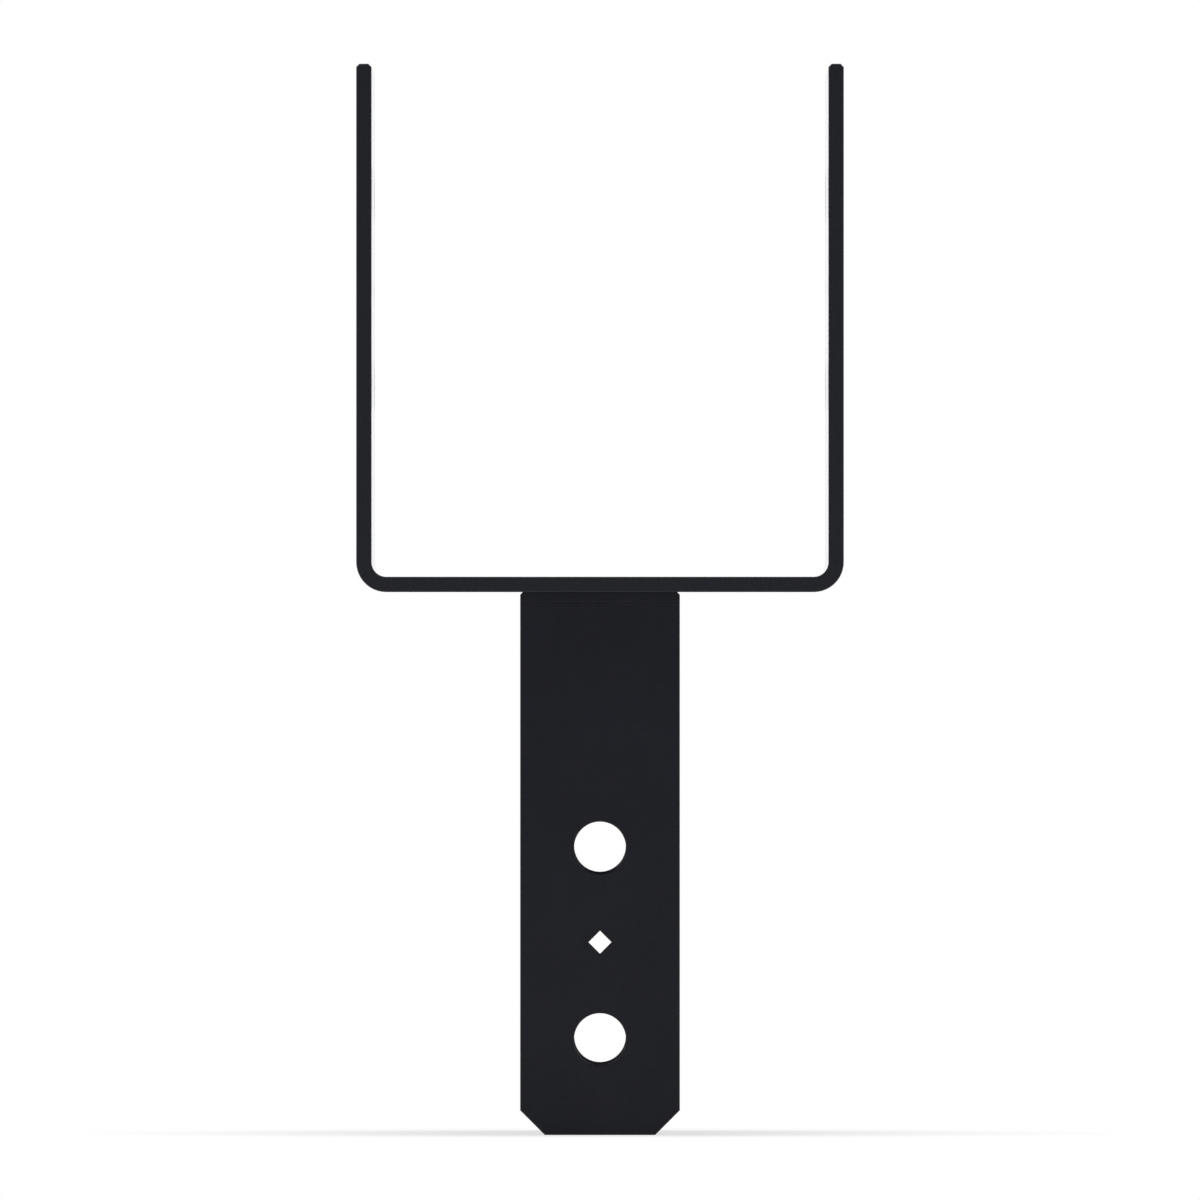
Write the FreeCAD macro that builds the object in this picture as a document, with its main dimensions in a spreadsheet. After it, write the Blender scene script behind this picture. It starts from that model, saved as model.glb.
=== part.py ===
import FreeCAD, Part
import math
import os
from types import SimpleNamespace

import Sketcher

# Column cap: a steel saddle that carries a timber beam, on two straps that bolt to a post.
# The beam runs along Y and the post stands below. The origin is the middle of the seat's
# top face, with +Z up. All sizes are in millimetres.

# Driving dimensions, kept in the document's spreadsheet
SIZES = {
    # Hot-rolled plate, the same for the saddle and the straps
    "plate": 6.07,
    "edge_break": 0.4,
    # Saddle: one plate folded to a U around the beam
    "beam_width": 180.98,
    "side_height": 203.2,
    "saddle_length": 330.2,
    "bend_radius": 5.8,
    "top_edge_break": 1.3,
    # Straps: two flat plates, one on each face of the post
    "post_gap": 139.7,
    "strap_width": 63.5,
    "strap_length": 215.9,
    "corner_cut": 9.8,
    "shoulder_cut": 1.0,
    # Groove welds that fill the bevels on the straps' top edges
    "weld_bevel": 4.0,
    # Holes for 19 mm bolts, and square nail holes that stand on one corner
    "bolt_hole": 20.64,
    "nail_hole": 7.14,
    "beam_bolt_end": 38.1,
    "beam_bolt_low": 76.2,
    "beam_bolt_rise": 76.2,
    "post_bolt_end": 38.1,
    "post_bolt_rise": 76.2,
}
size = SimpleNamespace(**SIZES)

# How near an edge has to lie to a plane to count as on it
NEAR = 0.001

# Sketch points: a line's first and last point, a circle's centre, and the origin
START, END, CENTRE = range(1, 4)
ORIGIN = (-1, START)
H_AXIS, V_AXIS = ORIGIN[0], ORIGIN[0] - 1


def make_sheet(doc):
    """Writes the driving dimensions into a spreadsheet, one named cell each."""
    sheet = doc.addObject("Spreadsheet::Sheet", "Sizes")
    for row, (name, value) in enumerate(SIZES.items(), start=1):
        sheet.set(f"A{row}", name)
        sheet.set(f"B{row}", str(value))
        sheet.setAlias(f"B{row}", name)
    doc.recompute()


def new_body(doc, label):
    body = doc.addObject("PartDesign::Body", label)
    body.Label = label
    return body


def origin_plane(body, role):
    """One of the body's own origin planes, found by its role."""
    return next(item for item in body.Origin.OriginFeatures if item.Role == role)


def new_sketch(body, name, plane):
    """A sketch on one of the body's own origin planes."""
    sketch = body.newObject("Sketcher::SketchObject", name)
    sketch.AttachmentSupport = [(origin_plane(body, plane), "")]
    sketch.MapMode = "FlatFace"
    return sketch


def constrain(sketch, kind, *places):
    """One constraint between sketch elements, each a number or a pair of numbers."""
    numbers = []
    for place in places:
        numbers += place if isinstance(place, tuple) else (place,)
    return sketch.addConstraint(Sketcher.Constraint(kind, *numbers))


def bind(sketch, index, name, formula):
    """Names a dimension of the sketch and ties it to the sheet."""
    sketch.renameConstraint(index, name)
    sketch.setExpression(f"Constraints.{name}", formula)


def dimension(sketch, kind, first, second, name, formula):
    """The distance along x or y from one sketch point to another."""
    ends = [FreeCAD.Vector() if end == ORIGIN else sketch.getPoint(*end) for end in (first, second)]
    step = ends[1] - ends[0]
    present = step.x if kind == "DistanceX" else step.y
    index = sketch.addConstraint(Sketcher.Constraint(kind, *first, *second, present))
    bind(sketch, index, name, formula)


def draw_outline(sketch, corners):
    """A closed run of straight lines; line i starts at corner i."""
    points = [FreeCAD.Vector(x, y, 0) for x, y in corners]
    lines = [
        sketch.addGeometry(Part.LineSegment(start, end))
        for start, end in zip(points, points[1:] + points[:1])
    ]
    for line, following in zip(lines, lines[1:] + lines[:1]):
        constrain(sketch, "Coincident", (line, END), (following, START))
    return lines


def draw_bolt_hole(sketch, x, y, name):
    middle = FreeCAD.Vector(x, y, 0)
    circle = Part.Circle(middle, FreeCAD.Vector(0, 0, 1), size.bolt_hole / 2)
    hole = sketch.addGeometry(circle)
    index = sketch.addConstraint(Sketcher.Constraint("Diameter", hole, size.bolt_hole))
    bind(sketch, index, name, "Sizes.bolt_hole")
    return hole, CENTRE


def draw_nail_hole(sketch, x, y):
    """A square that stands on one corner, around a construction point."""
    middle = (sketch.addGeometry(Part.Point(FreeCAD.Vector(x, y, 0)), True), START)
    reach = size.nail_hole / math.sqrt(2)
    lines = draw_outline(sketch, [(x, y - reach), (x + reach, y), (x, y + reach), (x - reach, y)])
    bottom, right, top, left = [(line, START) for line in lines]
    constrain(sketch, "Symmetric", bottom, top, middle)
    constrain(sketch, "Symmetric", left, right, middle)
    constrain(sketch, "Vertical", bottom, top)
    constrain(sketch, "Horizontal", left, right)
    constrain(sketch, "Perpendicular", lines[0], lines[1])
    index = sketch.addConstraint(Sketcher.Constraint("Distance", lines[0], size.nail_hole))
    bind(sketch, index, "nail_hole", "Sizes.nail_hole")
    return middle


def draw_bolt_column(sketch, x, low, rise, rise_formula):
    """Two bolt holes, one above the other, with a nail hole midway between them."""
    lower = draw_bolt_hole(sketch, x, low, "lower_hole")
    upper = draw_bolt_hole(sketch, x, low + rise, "upper_hole")
    middle = draw_nail_hole(sketch, x, low + rise / 2)
    constrain(sketch, "Vertical", lower, upper)
    constrain(sketch, "Symmetric", lower, upper, middle)
    dimension(sketch, "DistanceY", lower, upper, "hole_rise", rise_formula)
    return lower


def finish(body, feature):
    """Makes the feature the body's result and recomputes."""
    body.Tip = feature
    body.Document.recompute()
    return feature


def pad(body, sketch, name, length, symmetric=False):
    feature = body.newObject("PartDesign::Pad", name)
    feature.Profile = sketch
    feature.SideType = "Symmetric" if symmetric else "One side"
    feature.setExpression("Length", length)
    return finish(body, feature)


def cut_through(body, sketch, name):
    """Cuts the sketch right through the body, both ways from its plane."""
    before = body.Shape.Volume
    feature = body.newObject("PartDesign::Pocket", name)
    feature.Profile = sketch
    feature.SideType = "Symmetric"
    feature.Type = "ThroughAll"
    finish(body, feature)
    if body.Shape.Volume >= before:
        raise RuntimeError(f"{body.Label}: {name} cut nothing")
    return feature


def mirror_cut(body, original, name, plane):
    """The same cut again, mirrored in one of the body's planes."""
    feature = body.newObject("PartDesign::Mirrored", name)
    feature.Originals = [original]
    feature.MirrorPlane = (origin_plane(body, plane), [""])
    return finish(body, feature)


def lies_at(edge, axis, *places):
    """Whether the whole edge lies at one of these places along an axis."""
    low = getattr(edge.BoundBox, axis + "Min")
    high = getattr(edge.BoundBox, axis + "Max")
    return any(abs(low - place) < NEAR and abs(high - place) < NEAR for place in places)


def is_bolt_hole_rim(edge):
    """Whether the edge is a circle of the bolt holes' size."""
    return isinstance(edge.Curve, Part.Circle) and abs(edge.Curve.Radius - size.bolt_hole / 2) < NEAR


def shape_edges(body, kind, name, wanted, setting, formula):
    """A fillet or chamfer on every edge that passes the test."""
    previous = body.Tip
    edges = previous.Shape.Edges
    chosen = [f"Edge{number}" for number, edge in enumerate(edges, start=1) if wanted(edge)]
    if not chosen:
        raise RuntimeError(f"{body.Label}: {name} found no edge")
    feature = body.newObject(f"PartDesign::{kind}", name)
    feature.Base = (previous, chosen)
    feature.setExpression(setting, formula)
    return finish(body, feature)


def fillet(body, name, wanted, formula):
    shape_edges(body, "Fillet", name, wanted, "Radius", formula)


def chamfer(body, name, wanted, formula):
    shape_edges(body, "Chamfer", name, wanted, "Size", formula)


# Beam saddle
def draw_saddle_section(sketch):
    """The U seen from the end of the beam, with square corners, seat's top face at zero."""
    inner = size.beam_width / 2
    outer = inner + size.plate
    top = size.side_height
    low = -size.plate
    bottom, right, right_top, right_inner, seat, left_inner, left_top, left = draw_outline(
        sketch,
        [
            (-outer, low),
            (outer, low),
            (outer, top),
            (inner, top),
            (inner, 0),
            (-inner, 0),
            (-inner, top),
            (-outer, top),
        ],
    )
    for line in (right, right_inner, left_inner, left):
        constrain(sketch, "Vertical", line)
    for line in (right_top, left_top):
        constrain(sketch, "Horizontal", line)
    constrain(sketch, "Horizontal", (right_top, END), (left_top, START))
    constrain(sketch, "Symmetric", (bottom, START), (bottom, END), V_AXIS)
    constrain(sketch, "Symmetric", (seat, START), (seat, END), V_AXIS)
    outside = "Sizes.beam_width + 2 * Sizes.plate"
    dimension(sketch, "DistanceX", (bottom, START), (bottom, END), "outside", outside)
    dimension(sketch, "DistanceX", (seat, END), (seat, START), "inside", "Sizes.beam_width")
    dimension(sketch, "DistanceY", (bottom, START), ORIGIN, "thickness", "Sizes.plate")
    dimension(sketch, "DistanceY", ORIGIN, (left_top, START), "height", "Sizes.side_height")
    constrain(sketch, "PointOnObject", (seat, START), H_AXIS)


def make_saddle(doc):
    """The plate that is folded around the beam, with a column of holes at each end."""
    body = new_body(doc, "beam_saddle")
    section = new_sketch(body, "saddle_section", "XZ_Plane")
    draw_saddle_section(section)
    pad(body, section, "folded_plate", "Sizes.saddle_length", symmetric=True)

    inner = size.beam_width / 2
    outer = inner + size.plate
    fillet(
        body,
        "inner_bends",
        lambda edge: lies_at(edge, "X", -inner, inner) and lies_at(edge, "Z", 0),
        "Sizes.bend_radius",
    )
    fillet(
        body,
        "outer_bends",
        lambda edge: lies_at(edge, "X", -outer, outer) and lies_at(edge, "Z", -size.plate),
        "Sizes.bend_radius + Sizes.plate",
    )
    end = size.saddle_length / 2
    chamfer(
        body,
        "eased_top_edges",
        lambda edge: lies_at(edge, "Z", size.side_height) and not lies_at(edge, "Y", -end, end),
        "Sizes.top_edge_break",
    )

    column = new_sketch(body, "beam_bolt_column", "YZ_Plane")
    from_middle = end - size.beam_bolt_end
    lower = draw_bolt_column(
        column, from_middle, size.beam_bolt_low, size.beam_bolt_rise, "Sizes.beam_bolt_rise"
    )
    place = "Sizes.saddle_length / 2 - Sizes.beam_bolt_end"
    dimension(column, "DistanceX", ORIGIN, lower, "from_middle", place)
    dimension(column, "DistanceY", ORIGIN, lower, "above_seat", "Sizes.beam_bolt_low")
    holes = cut_through(body, column, "beam_holes")
    mirror_cut(body, holes, "beam_holes_other_end", "XZ_Plane")

    chamfer(
        body,
        "deburred_edges",
        lambda edge: lies_at(edge, "Y", -end, end) or is_bolt_hole_rim(edge),
        "Sizes.edge_break",
    )
    return body


# Post straps and their welds, drawn with the inner face at y = 0 and the seat at z = 0
def seat_on_post_side(body, turned):
    """Moves a strap or weld from its own drawing place to its side of the post."""
    angle = 180 if turned else 0
    rotation = FreeCAD.Rotation(FreeCAD.Vector(0, 0, 1), angle)
    body.Placement = FreeCAD.Placement(FreeCAD.Vector(), rotation)
    side = "" if turned else "-"
    body.setExpression("Placement.Base.y", f"{side}Sizes.post_gap / 2")
    body.setExpression("Placement.Base.z", "-Sizes.plate")


def draw_strap_outline(sketch):
    """The strap's flat face as a plain rectangle that hangs from the seat."""
    half = size.strap_width / 2
    low = -size.strap_length
    bottom, right, top, left = draw_outline(sketch, [(-half, low), (half, low), (half, 0), (-half, 0)])
    constrain(sketch, "Vertical", right)
    constrain(sketch, "Vertical", left)
    constrain(sketch, "Symmetric", (bottom, START), (bottom, END), V_AXIS)
    constrain(sketch, "PointOnObject", (top, START), H_AXIS)
    constrain(sketch, "PointOnObject", (top, END), H_AXIS)
    dimension(sketch, "DistanceX", (bottom, START), (bottom, END), "width", "Sizes.strap_width")
    dimension(sketch, "DistanceY", (bottom, START), ORIGIN, "drop", "Sizes.strap_length")


def draw_bevel(sketch):
    """The 45 degree triangle between the seat and the strap's outer face."""
    outer = -size.plate
    across, slope, down = draw_outline(
        sketch, [(outer, 0), (outer + size.weld_bevel, 0), (outer, -size.weld_bevel)]
    )
    corner = (across, START)
    constrain(sketch, "Vertical", down)
    constrain(sketch, "PointOnObject", corner, H_AXIS)
    constrain(sketch, "PointOnObject", (slope, START), H_AXIS)
    constrain(sketch, "Equal", across, down)
    dimension(sketch, "DistanceX", corner, ORIGIN, "to_outer_face", "Sizes.plate")
    dimension(sketch, "DistanceX", corner, (slope, START), "bevel", "Sizes.weld_bevel")


def make_strap(doc, label, turned):
    """A flat strap with cut corners, two bolt holes and a nail hole, bevelled for its weld."""
    body = new_body(doc, label)
    outline = new_sketch(body, f"{label}_outline", "XZ_Plane")
    draw_strap_outline(outline)
    pad(body, outline, f"{label}_plate", "Sizes.plate")

    half = size.strap_width / 2
    low = -size.strap_length
    for name, height, formula in (
        ("corner_cuts", low, "Sizes.corner_cut"),
        ("shoulder_cuts", 0, "Sizes.shoulder_cut"),
    ):
        chamfer(
            body,
            f"{label}_{name}",
            lambda edge: lies_at(edge, "X", -half, half) and lies_at(edge, "Z", height),
            formula,
        )

    bevel = new_sketch(body, f"{label}_bevel", "YZ_Plane")
    draw_bevel(bevel)
    cut_through(body, bevel, f"{label}_weld_bevel")

    column = new_sketch(body, f"{label}_bolt_column", "XZ_Plane")
    lower = draw_bolt_column(
        column, 0, low + size.post_bolt_end, size.post_bolt_rise, "Sizes.post_bolt_rise"
    )
    constrain(column, "PointOnObject", lower, V_AXIS)
    drop = "Sizes.strap_length - Sizes.post_bolt_end"
    dimension(column, "DistanceY", lower, ORIGIN, "below_seat", drop)
    cut_through(body, column, f"{label}_holes")

    def is_face_outline(edge):
        """Whether the edge runs round the outside of a flat face, below the shoulders."""
        on_face = lies_at(edge, "Y", -size.plate, 0)
        side = lies_at(edge, "X", -half, half)
        bottom = edge.BoundBox.ZMax < low + size.corner_cut + NEAR
        return on_face and (side or bottom)

    chamfer(
        body,
        f"{label}_deburred_edges",
        lambda edge: is_face_outline(edge) or is_bolt_hole_rim(edge),
        "Sizes.edge_break",
    )
    seat_on_post_side(body, turned)
    return body


def make_weld(doc, label, turned):
    """The weld that fills the strap's bevel, ground flush with its face, sides and shoulders."""
    body = new_body(doc, label)
    section = new_sketch(body, f"{label}_section", "YZ_Plane")
    draw_bevel(section)
    pad(body, section, f"{label}_run", "Sizes.strap_width", symmetric=True)

    half = size.strap_width / 2
    chamfer(
        body,
        f"{label}_shoulder_cuts",
        lambda edge: lies_at(edge, "X", -half, half) and lies_at(edge, "Z", 0),
        "Sizes.shoulder_cut",
    )
    chamfer(
        body,
        f"{label}_deburred_edges",
        lambda edge: lies_at(edge, "X", -half, half) and lies_at(edge, "Y", -size.plate),
        "Sizes.edge_break",
    )
    seat_on_post_side(body, turned)
    return body


def check(doc, bodies):
    """Stops before anything is written if a feature failed or a shape is unsound."""
    for item in doc.Objects:
        if "Invalid" in item.State or "Error" in item.State:
            raise RuntimeError(f"{item.Label} failed: {item.State}")
    for body in bodies:
        shape = body.Shape
        if shape.isNull() or not shape.isValid() or len(shape.Solids) != 1:
            raise RuntimeError(f"{body.Label} has no single valid solid")


def main():
    doc = FreeCAD.newDocument("column_cap")
    make_sheet(doc)
    bodies = [make_saddle(doc)]
    for side, turned in (("front", False), ("rear", True)):
        bodies.append(make_strap(doc, f"{side}_post_strap", turned))
        bodies.append(make_weld(doc, f"{side}_strap_weld", turned))
    doc.recompute()
    check(doc, bodies)
    os.makedirs("parts", exist_ok=True)
    for body in bodies:
        body.Shape.exportStep(f"parts/{body.Label}.step")
        box = body.Shape.BoundBox
        print(f"{body.Label}: {body.Shape.Volume:.1f} mm3, {box}")


main()
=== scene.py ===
import math

import bmesh
import bpy
from mathutils import Matrix, Vector


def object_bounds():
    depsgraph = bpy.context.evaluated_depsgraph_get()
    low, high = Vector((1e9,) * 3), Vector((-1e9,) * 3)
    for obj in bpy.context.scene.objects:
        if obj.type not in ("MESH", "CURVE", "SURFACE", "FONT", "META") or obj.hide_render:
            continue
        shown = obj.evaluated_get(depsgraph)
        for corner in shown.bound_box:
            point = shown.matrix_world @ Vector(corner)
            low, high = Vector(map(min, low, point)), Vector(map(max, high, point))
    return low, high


# Column cap of black powder-coated steel plate, seen straight along the beam's direction.
# Lengths are in metres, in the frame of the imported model: the seat's top face is at zero,
# the beam runs along Y and the post's straps hang below.
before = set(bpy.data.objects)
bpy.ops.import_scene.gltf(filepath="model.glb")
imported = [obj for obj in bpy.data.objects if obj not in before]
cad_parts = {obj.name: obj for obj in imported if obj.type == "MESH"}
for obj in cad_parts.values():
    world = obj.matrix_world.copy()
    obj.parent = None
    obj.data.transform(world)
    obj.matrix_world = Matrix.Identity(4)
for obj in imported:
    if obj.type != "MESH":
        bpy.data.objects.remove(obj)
cad_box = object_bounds()

MM = 0.001
QUARTER_TURN = math.radians(90)


def linear(hex_colour):
    """An sRGB hex colour as linear red, green, blue and alpha."""
    shares = [int(hex_colour[i : i + 2], 16) / 255 for i in (1, 3, 5)]
    return [s / 12.92 if s <= 0.04045 else ((s + 0.055) / 1.055) ** 2.4 for s in shares] + [1]


def add_node(tree, kind, links=(), **settings):
    """Adds a node; settings are its properties or input values, links are (input, source)."""
    node = tree.nodes.new(kind)
    for name, value in settings.items():
        if hasattr(node, name):
            setattr(node, name, value)
        else:
            node.inputs[name.replace("_", " ")].default_value = value
    for target, source in links:
        tree.links.new(source, node.inputs[target])
    return node


def new_material(name):
    """An empty node material with its output node."""
    material = bpy.data.materials.new(name)
    material.use_nodes = True
    material.node_tree.nodes.clear()
    output = add_node(material.node_tree, "ShaderNodeOutputMaterial")
    return material, material.node_tree, output


# Sockets of the Mix node, whose colour and number sockets share their names
MIX_SHARE = 0
MIX_NUMBER_A = 2
MIX_NUMBER_B = 3
MIX_NUMBER_RESULT = 0
MIX_COLOUR_A = 6
MIX_COLOUR_B = 7
MIX_COLOUR_RESULT = 2

# Black satin powder coat: polyester powder, sprayed on hot-rolled plate and baked, so it is
# near-black with a blue cast and a low sheen. Where it flowed thicker it is a touch lighter
# and smoother, in clouds a few centimetres wide.
COAT_THIN = "#13141a"
COAT_THICK = "#16171e"
COAT_ROUGHNESS = 0.46
COAT_IOR = 1.5
COAT_SPECULAR = 0.25
CLOUD_WIDTH_MM = 38
CLOUD_DETAIL = 3
CLOUD_LOW = 0.3
CLOUD_HIGH = 0.7
CLOUD_ROUGHNESS = 0.04
# Orange peel, the fine ripple that the powder leaves as it melts
PEEL_WIDTH_MM = 1.4
PEEL_DEPTH_MM = 0.018
PEEL_DETAIL = 2
# The powder draws back from sharp edges and rounds them
EDGE_SOFTNESS_MM = 0.5
EDGE_SAMPLES = 6
# The cut faces are rougher than the rolled ones, so the coat on them is duller. Its colour there
# is also a touch lighter. This is painted light, standing in for the plate ends catching more
# light.
CUT_FACE_COAT_PAINTED_LIGHTER = "#191a1f"
CUT_FACE_ROUGHNESS = 0.55
# Seen at under a degree, as the side plates are from straight ahead, the coat mirrors what
# is behind it. The film on top does that, and adds little from a few degrees up.
FILM_IOR = 1.003
FILM_ROUGHNESS = 0.02
# How much of a face's normal lies along an axis before the face counts as square to it
SQUARE_FROM = 0.45
SQUARE_TO = 0.55
# Height above the seat's top face where the bends have ended
BENDS_END_MM = 6.0
BENDS_BLEND_MM = 0.2


def saddle_cut_faces(tree, place):
    """Marks the saddle's ends, top edges and hole walls, and leaves its rolled faces."""
    point = add_node(tree, "ShaderNodeSeparateXYZ", [(0, place["Object"])])
    size = add_node(tree, "ShaderNodeVectorMath", [(0, place["Normal"])], operation="ABSOLUTE")
    facing = add_node(tree, "ShaderNodeSeparateXYZ", [(0, size.outputs["Vector"])])
    plate_end = add_node(
        tree,
        "ShaderNodeMapRange",
        [("Value", facing.outputs["Y"])],
        From_Min=SQUARE_FROM,
        From_Max=SQUARE_TO,
    )
    off_the_side = add_node(
        tree,
        "ShaderNodeMapRange",
        [("Value", facing.outputs["X"])],
        From_Min=SQUARE_FROM,
        From_Max=SQUARE_TO,
        To_Min=1,
        To_Max=0,
    )
    above_bends = add_node(
        tree,
        "ShaderNodeMapRange",
        [("Value", point.outputs["Z"])],
        From_Min=BENDS_END_MM * MM,
        From_Max=(BENDS_END_MM + BENDS_BLEND_MM) * MM,
    )
    top_or_hole = add_node(
        tree,
        "ShaderNodeMath",
        [(0, off_the_side.outputs["Result"]), (1, above_bends.outputs["Result"])],
        operation="MULTIPLY",
    )
    cut = add_node(
        tree,
        "ShaderNodeMath",
        [(0, plate_end.outputs["Result"]), (1, top_or_hole.outputs["Value"])],
        operation="MAXIMUM",
    )
    return cut.outputs["Value"]


def strap_cut_faces(tree, place):
    """Marks the strap's outline and hole walls, and leaves its two rolled faces."""
    size = add_node(tree, "ShaderNodeVectorMath", [(0, place["Normal"])], operation="ABSOLUTE")
    facing = add_node(tree, "ShaderNodeSeparateXYZ", [(0, size.outputs["Vector"])])
    cut = add_node(
        tree,
        "ShaderNodeMapRange",
        [("Value", facing.outputs["Y"])],
        From_Min=SQUARE_FROM,
        From_Max=SQUARE_TO,
        To_Min=1,
        To_Max=0,
    )
    return cut.outputs["Result"]


def powder_coat(name, cut_faces=None):
    """The coat; cut_faces marks where it lies on a cut face instead of a rolled one."""
    material, tree, output = new_material(name)
    place = add_node(tree, "ShaderNodeTexCoord").outputs
    clouds = add_node(
        tree,
        "ShaderNodeTexNoise",
        [("Vector", place["Object"])],
        Scale=1 / (CLOUD_WIDTH_MM * MM),
        Detail=CLOUD_DETAIL,
    )
    thickness = add_node(
        tree,
        "ShaderNodeMapRange",
        [("Value", clouds.outputs["Fac"])],
        From_Min=CLOUD_LOW,
        From_Max=CLOUD_HIGH,
    )
    clouded = add_node(
        tree, "ShaderNodeMix", [(MIX_SHARE, thickness.outputs["Result"])], data_type="RGBA"
    )
    clouded.inputs[MIX_COLOUR_A].default_value = linear(COAT_THIN)
    clouded.inputs[MIX_COLOUR_B].default_value = linear(COAT_THICK)
    colour = clouded.outputs[MIX_COLOUR_RESULT]
    smoother_if_thick = add_node(
        tree,
        "ShaderNodeMapRange",
        [("Value", thickness.outputs["Result"])],
        To_Min=COAT_ROUGHNESS + CLOUD_ROUGHNESS,
        To_Max=COAT_ROUGHNESS - CLOUD_ROUGHNESS,
    )
    roughness = smoother_if_thick.outputs["Result"]
    peel = add_node(
        tree,
        "ShaderNodeTexNoise",
        [("Vector", place["Object"])],
        Scale=1 / (PEEL_WIDTH_MM * MM),
        Detail=PEEL_DETAIL,
    )
    rounded = add_node(
        tree, "ShaderNodeBevel", samples=EDGE_SAMPLES, Radius=EDGE_SOFTNESS_MM * MM
    )
    rippled = add_node(
        tree,
        "ShaderNodeBump",
        [("Height", peel.outputs["Fac"]), ("Normal", rounded.outputs["Normal"])],
        Strength=1,
        Distance=PEEL_DEPTH_MM * MM,
    )
    coat = add_node(
        tree,
        "ShaderNodeBsdfPrincipled",
        [("Normal", rippled.outputs["Normal"])],
        IOR=COAT_IOR,
        Specular_IOR_Level=COAT_SPECULAR,
        Coat_Weight=1,
        Coat_Roughness=FILM_ROUGHNESS,
        Coat_IOR=FILM_IOR,
    )
    if cut_faces:
        cut = cut_faces(tree, place)
        # Painted light: the cut faces, the plate ends among them, get a lighter colour than the
        # rolled faces
        cut_face_colour_painted_lighter = add_node(
            tree, "ShaderNodeMix", [(MIX_SHARE, cut), (MIX_COLOUR_A, colour)], data_type="RGBA"
        )
        cut_face_colour_painted_lighter.inputs[MIX_COLOUR_B].default_value = linear(CUT_FACE_COAT_PAINTED_LIGHTER)
        colour = cut_face_colour_painted_lighter.outputs[MIX_COLOUR_RESULT]
        duller = add_node(
            tree, "ShaderNodeMix", [(MIX_SHARE, cut), (MIX_NUMBER_A, roughness)], data_type="FLOAT"
        )
        duller.inputs[MIX_NUMBER_B].default_value = CUT_FACE_ROUGHNESS
        roughness = duller.outputs[MIX_NUMBER_RESULT]
        film = add_node(tree, "ShaderNodeMapRange", [("Value", cut)], To_Min=1, To_Max=0)
        tree.links.new(film.outputs["Result"], coat.inputs["Coat Weight"])
    tree.links.new(colour, coat.inputs["Base Color"])
    tree.links.new(roughness, coat.inputs["Roughness"])
    tree.links.new(coat.outputs["BSDF"], output.inputs["Surface"])
    return material


def dress(node, material):
    """Gives a CAD node its finish."""
    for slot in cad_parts[node].material_slots:
        slot.material = material


# Studio floor of white paper, shown as plain white away from the object. It keeps half of
# its shadow under the object, and less further out.
FLOOR_PAPER = "#f6f6f6"
FLOOR_RADIUS = 2.4
FLOOR_CORNERS = 96
FLOOR_FADE_FROM = 0.02
FLOOR_FADE_TO = 0.24
FLOOR_LEAST_WHITE = 0.5
# Dark card between the camera and the object, and how bright it is beside the white
CARD_SIDE = 6.8
CARD_DISTANCE = 1.6
CARD_HEIGHT = 1.7
CARD_LEVEL = 0.08
# White surround: how bright it is as a light, beside a strength of 1 where it is seen
SURROUND_LEVEL = 0.1
# Low fill lamps on the four sides, in watts, which the coat doesn't mirror
FILL_DISTANCE = 3.6
FILL_HEIGHT = -0.05
FILL_SIDES = (2.6, 0.5)
FRONT_FILL_POWER = 75
REAR_FILL_POWER = 62
SIDE_FILL_POWER = 30
# Soft boxes above, in watts, which give the bends and edges their highlights
HIGH_BOX_REACH = 2.0
HIGH_BOX_SIDES = (1.6, 1.6)
HIGH_BOX_POWER = 26
TOP_BOX_HEIGHT = 2.6
TOP_BOX_SIDES = (1.8, 1.8)
TOP_BOX_POWER = 32


def seen_or_mirrored(tree):
    """1 for what the camera sees, straight or in a glossy or clear surface, and 0 otherwise."""
    path = add_node(tree, "ShaderNodeLightPath").outputs
    either = add_node(
        tree,
        "ShaderNodeMath",
        [(0, path["Is Camera Ray"]), (1, path["Is Glossy Ray"])],
        operation="MAXIMUM",
    )
    any_of_them = add_node(
        tree,
        "ShaderNodeMath",
        [(0, either.outputs["Value"]), (1, path["Is Transmission Ray"])],
        operation="MAXIMUM",
    )
    return any_of_them.outputs["Value"]


def studio_floor():
    """A pale matt floor under the strap ends that fades to plain white away from the object."""
    mesh = bmesh.new()
    bmesh.ops.create_circle(mesh, cap_ends=True, segments=FLOOR_CORNERS, radius=FLOOR_RADIUS)
    bmesh.ops.translate(mesh, verts=mesh.verts, vec=(0, 0, cad_box[0].z))
    data = bpy.data.meshes.new("floor")
    mesh.to_mesh(data)
    mesh.free()
    floor = bpy.data.objects.new("floor", data)
    bpy.context.scene.collection.objects.link(floor)

    material, tree, output = new_material("matt_white_paper")
    place = add_node(tree, "ShaderNodeTexCoord").outputs["Object"]
    flat = add_node(tree, "ShaderNodeVectorMath", [(0, place)], operation="MULTIPLY")
    flat.inputs[1].default_value = (1, 1, 0)
    reach = add_node(
        tree, "ShaderNodeVectorMath", [(0, flat.outputs["Vector"])], operation="LENGTH"
    )
    fade = add_node(
        tree,
        "ShaderNodeMapRange",
        [("Value", reach.outputs["Value"])],
        interpolation_type="SMOOTHSTEP",
        From_Min=FLOOR_FADE_FROM,
        From_Max=FLOOR_FADE_TO,
        To_Min=FLOOR_LEAST_WHITE,
    )
    share = add_node(
        tree,
        "ShaderNodeMath",
        [(0, fade.outputs["Result"]), (1, seen_or_mirrored(tree))],
        operation="MULTIPLY",
    )
    paper = add_node(tree, "ShaderNodeBsdfDiffuse", Color=linear(FLOOR_PAPER))
    white = add_node(tree, "ShaderNodeEmission", Strength=1)
    mix = add_node(
        tree,
        "ShaderNodeMixShader",
        [(0, share.outputs["Value"]), (1, paper.outputs["BSDF"]), (2, white.outputs["Emission"])],
    )
    tree.links.new(mix.outputs["Shader"], output.inputs["Surface"])
    data.materials.append(material)


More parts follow.
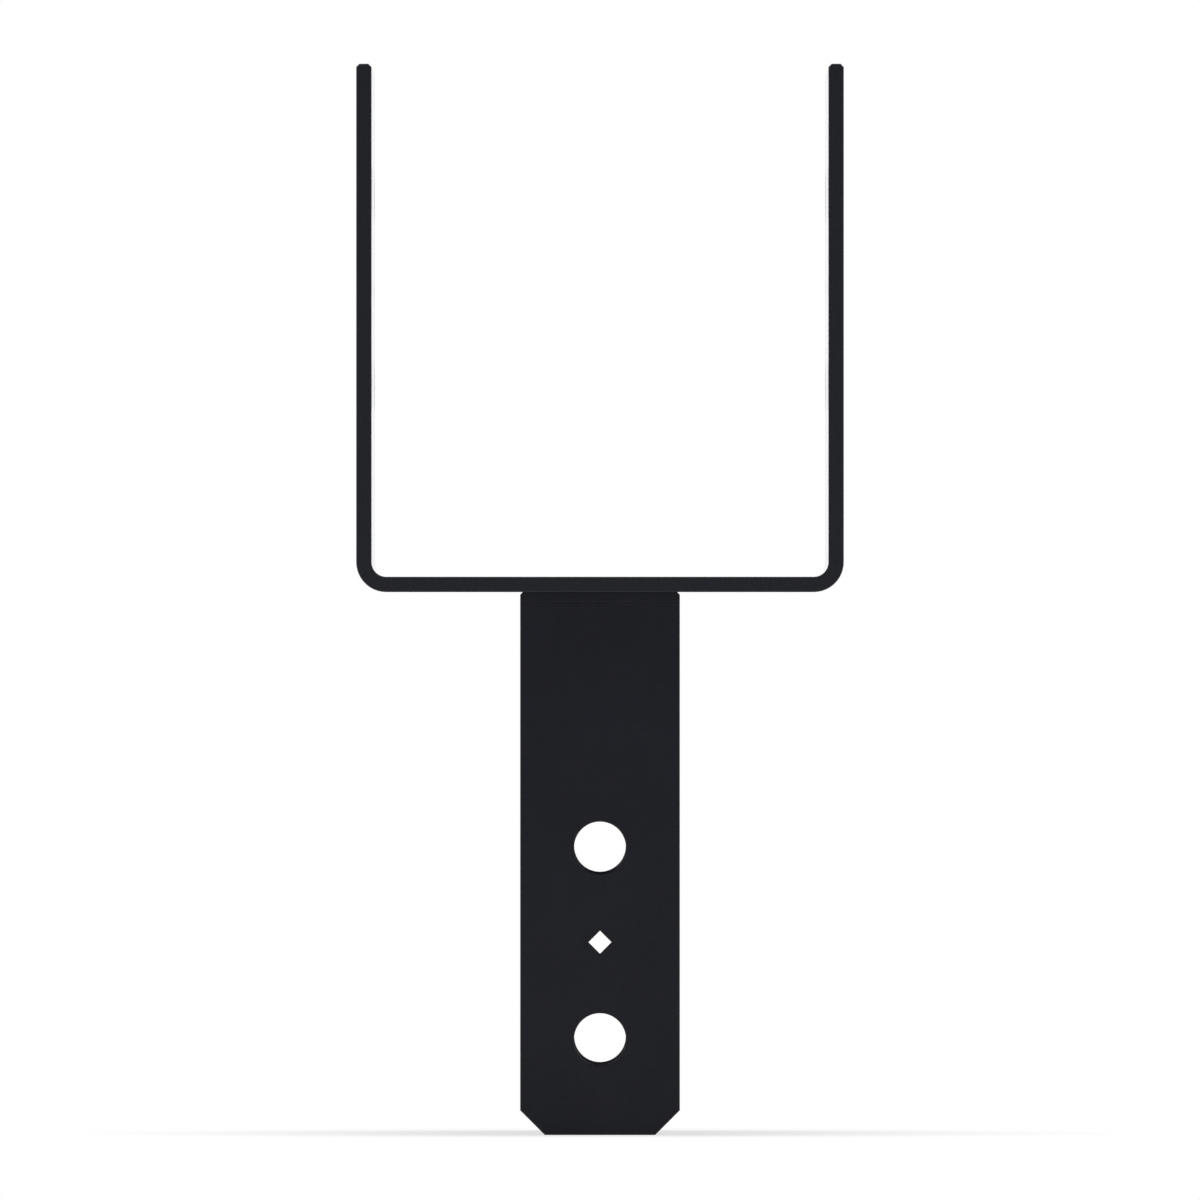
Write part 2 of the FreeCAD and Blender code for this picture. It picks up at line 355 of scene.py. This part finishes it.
def white_surround():
    """A world that shows white, and lights matt surfaces at a softer level."""
    world = bpy.data.worlds.new("white_studio")
    bpy.context.scene.world = world
    world.use_nodes = True
    tree = world.node_tree
    tree.nodes.clear()
    level = add_node(
        tree,
        "ShaderNodeMapRange",
        [("Value", seen_or_mirrored(tree))],
        To_Min=SURROUND_LEVEL,
        To_Max=1,
    )
    light = add_node(
        tree, "ShaderNodeBackground", [("Strength", level.outputs["Result"])], Color=(1, 1, 1, 1)
    )
    output = add_node(tree, "ShaderNodeOutputWorld")
    tree.links.new(light.outputs["Background"], output.inputs["Surface"])


def dark_card():
    """A dark card between the camera and the object, seen only in the coat's sheen."""
    mesh = bmesh.new()
    bmesh.ops.create_grid(mesh, x_segments=1, y_segments=1, size=CARD_SIDE / 2)
    upright = Matrix.Rotation(QUARTER_TURN, 3, "X")
    bmesh.ops.rotate(mesh, verts=mesh.verts, cent=(0, 0, 0), matrix=upright)
    bmesh.ops.translate(mesh, verts=mesh.verts, vec=(0, -CARD_DISTANCE, CARD_HEIGHT))
    data = bpy.data.meshes.new("dark_card")
    mesh.to_mesh(data)
    mesh.free()
    card = bpy.data.objects.new("dark_card", data)
    bpy.context.scene.collection.objects.link(card)
    card.visible_camera = False
    card.visible_diffuse = False
    card.visible_transmission = False
    card.visible_shadow = False

    material, tree, output = new_material("dark_grey_card")
    grey = add_node(tree, "ShaderNodeEmission", Strength=CARD_LEVEL)
    tree.links.new(grey.outputs["Emission"], output.inputs["Surface"])
    data.materials.append(material)


def lamp(name, place, aim, sides, power, mirrored):
    """A rectangular area lamp that points at a spot and isn't seen itself."""
    data = bpy.data.lights.new(name, "AREA")
    data.shape = "RECTANGLE"
    data.size, data.size_y = sides
    data.energy = power
    holder = bpy.data.objects.new(name, data)
    holder.location = place
    holder.rotation_euler = (Vector(aim) - Vector(place)).to_track_quat("-Z", "Y").to_euler()
    holder.visible_camera = False
    holder.visible_glossy = mirrored
    bpy.context.scene.collection.objects.link(holder)


def light_studio():
    """Level fills from the four sides, and soft boxes above."""
    middle = (0, 0, FILL_HEIGHT)
    for name, across, along, power in (
        ("front_fill", 0, -FILL_DISTANCE, FRONT_FILL_POWER),
        ("rear_fill", 0, FILL_DISTANCE, REAR_FILL_POWER),
        ("left_fill", -FILL_DISTANCE, 0, SIDE_FILL_POWER),
        ("right_fill", FILL_DISTANCE, 0, SIDE_FILL_POWER),
    ):
        place = (across, along, FILL_HEIGHT)
        lamp(name, place, aim=middle, sides=FILL_SIDES, power=power, mirrored=False)
    seat = (0, 0, 0)
    for name, across in (("left_box", -HIGH_BOX_REACH), ("right_box", HIGH_BOX_REACH)):
        place = (across, 0, HIGH_BOX_REACH)
        lamp(name, place, aim=seat, sides=HIGH_BOX_SIDES, power=HIGH_BOX_POWER, mirrored=True)
    place = (0, 0, TOP_BOX_HEIGHT)
    lamp("top_box", place, aim=seat, sides=TOP_BOX_SIDES, power=TOP_BOX_POWER, mirrored=True)


# The photograph's frame, 1200 by 1200 pixels, which shows no perspective. A very long lens
# brings the outline within about a pixel of that, and keeps the whole part in frame from
# other sides.
PHOTO_SIDE_PX = 1200
PX_PER_INCH = 64.0
MM_PER_INCH = 25.4
PX_PER_MM = PX_PER_INCH / MM_PER_INCH
SEAT_TOP_ROW_PX = 576.3
VIEW_SIDE = PHOTO_SIDE_PX / PX_PER_MM * MM
LENS_MM = 1650
SENSOR_MM = 36
# What perspective is left is shared out: the scale is the photograph's this far behind the
# saddle's front end, and the camera stands this much higher than the photograph's middle
TRUE_SCALE_DEPTH_MM = 45
LIFT_MM = 0.2
AIM_HEIGHT = (SEAT_TOP_ROW_PX - PHOTO_SIDE_PX / 2) / PX_PER_MM * MM + LIFT_MM * MM
# The camera's reach: from just before the lens to a little behind the object
NEAREST_SEEN = 0.1
ROOM_BEHIND = 5


def straight_camera():
    """Looks along the beam's direction, level, with the photograph's framing."""
    distance = VIEW_SIDE * LENS_MM / SENSOR_MM
    data = bpy.data.cameras.new("camera")
    data.lens = LENS_MM
    data.sensor_width = SENSOR_MM
    data.clip_start = NEAREST_SEEN
    data.clip_end = distance + ROOM_BEHIND
    camera = bpy.data.objects.new("camera", data)
    true_scale_plane = cad_box[0].y + TRUE_SCALE_DEPTH_MM * MM
    camera.location = (0, true_scale_plane - distance, AIM_HEIGHT)
    camera.rotation_euler = (QUARTER_TURN, 0, 0)
    bpy.context.scene.collection.objects.link(camera)
    bpy.context.scene.camera = camera


dress("beam_saddle", powder_coat("black_satin_powder_coat_on_saddle", saddle_cut_faces))
strap_coat = powder_coat("black_satin_powder_coat_on_strap", strap_cut_faces)
dress("front_post_strap", strap_coat)
dress("rear_post_strap", strap_coat)
weld_coat = powder_coat("black_satin_powder_coat_on_ground_weld")
dress("front_strap_weld", weld_coat)
dress("rear_strap_weld", weld_coat)

studio_floor()
white_surround()
dark_card()
light_studio()
straight_camera()
bpy.context.scene.view_settings.view_transform = "Standard"
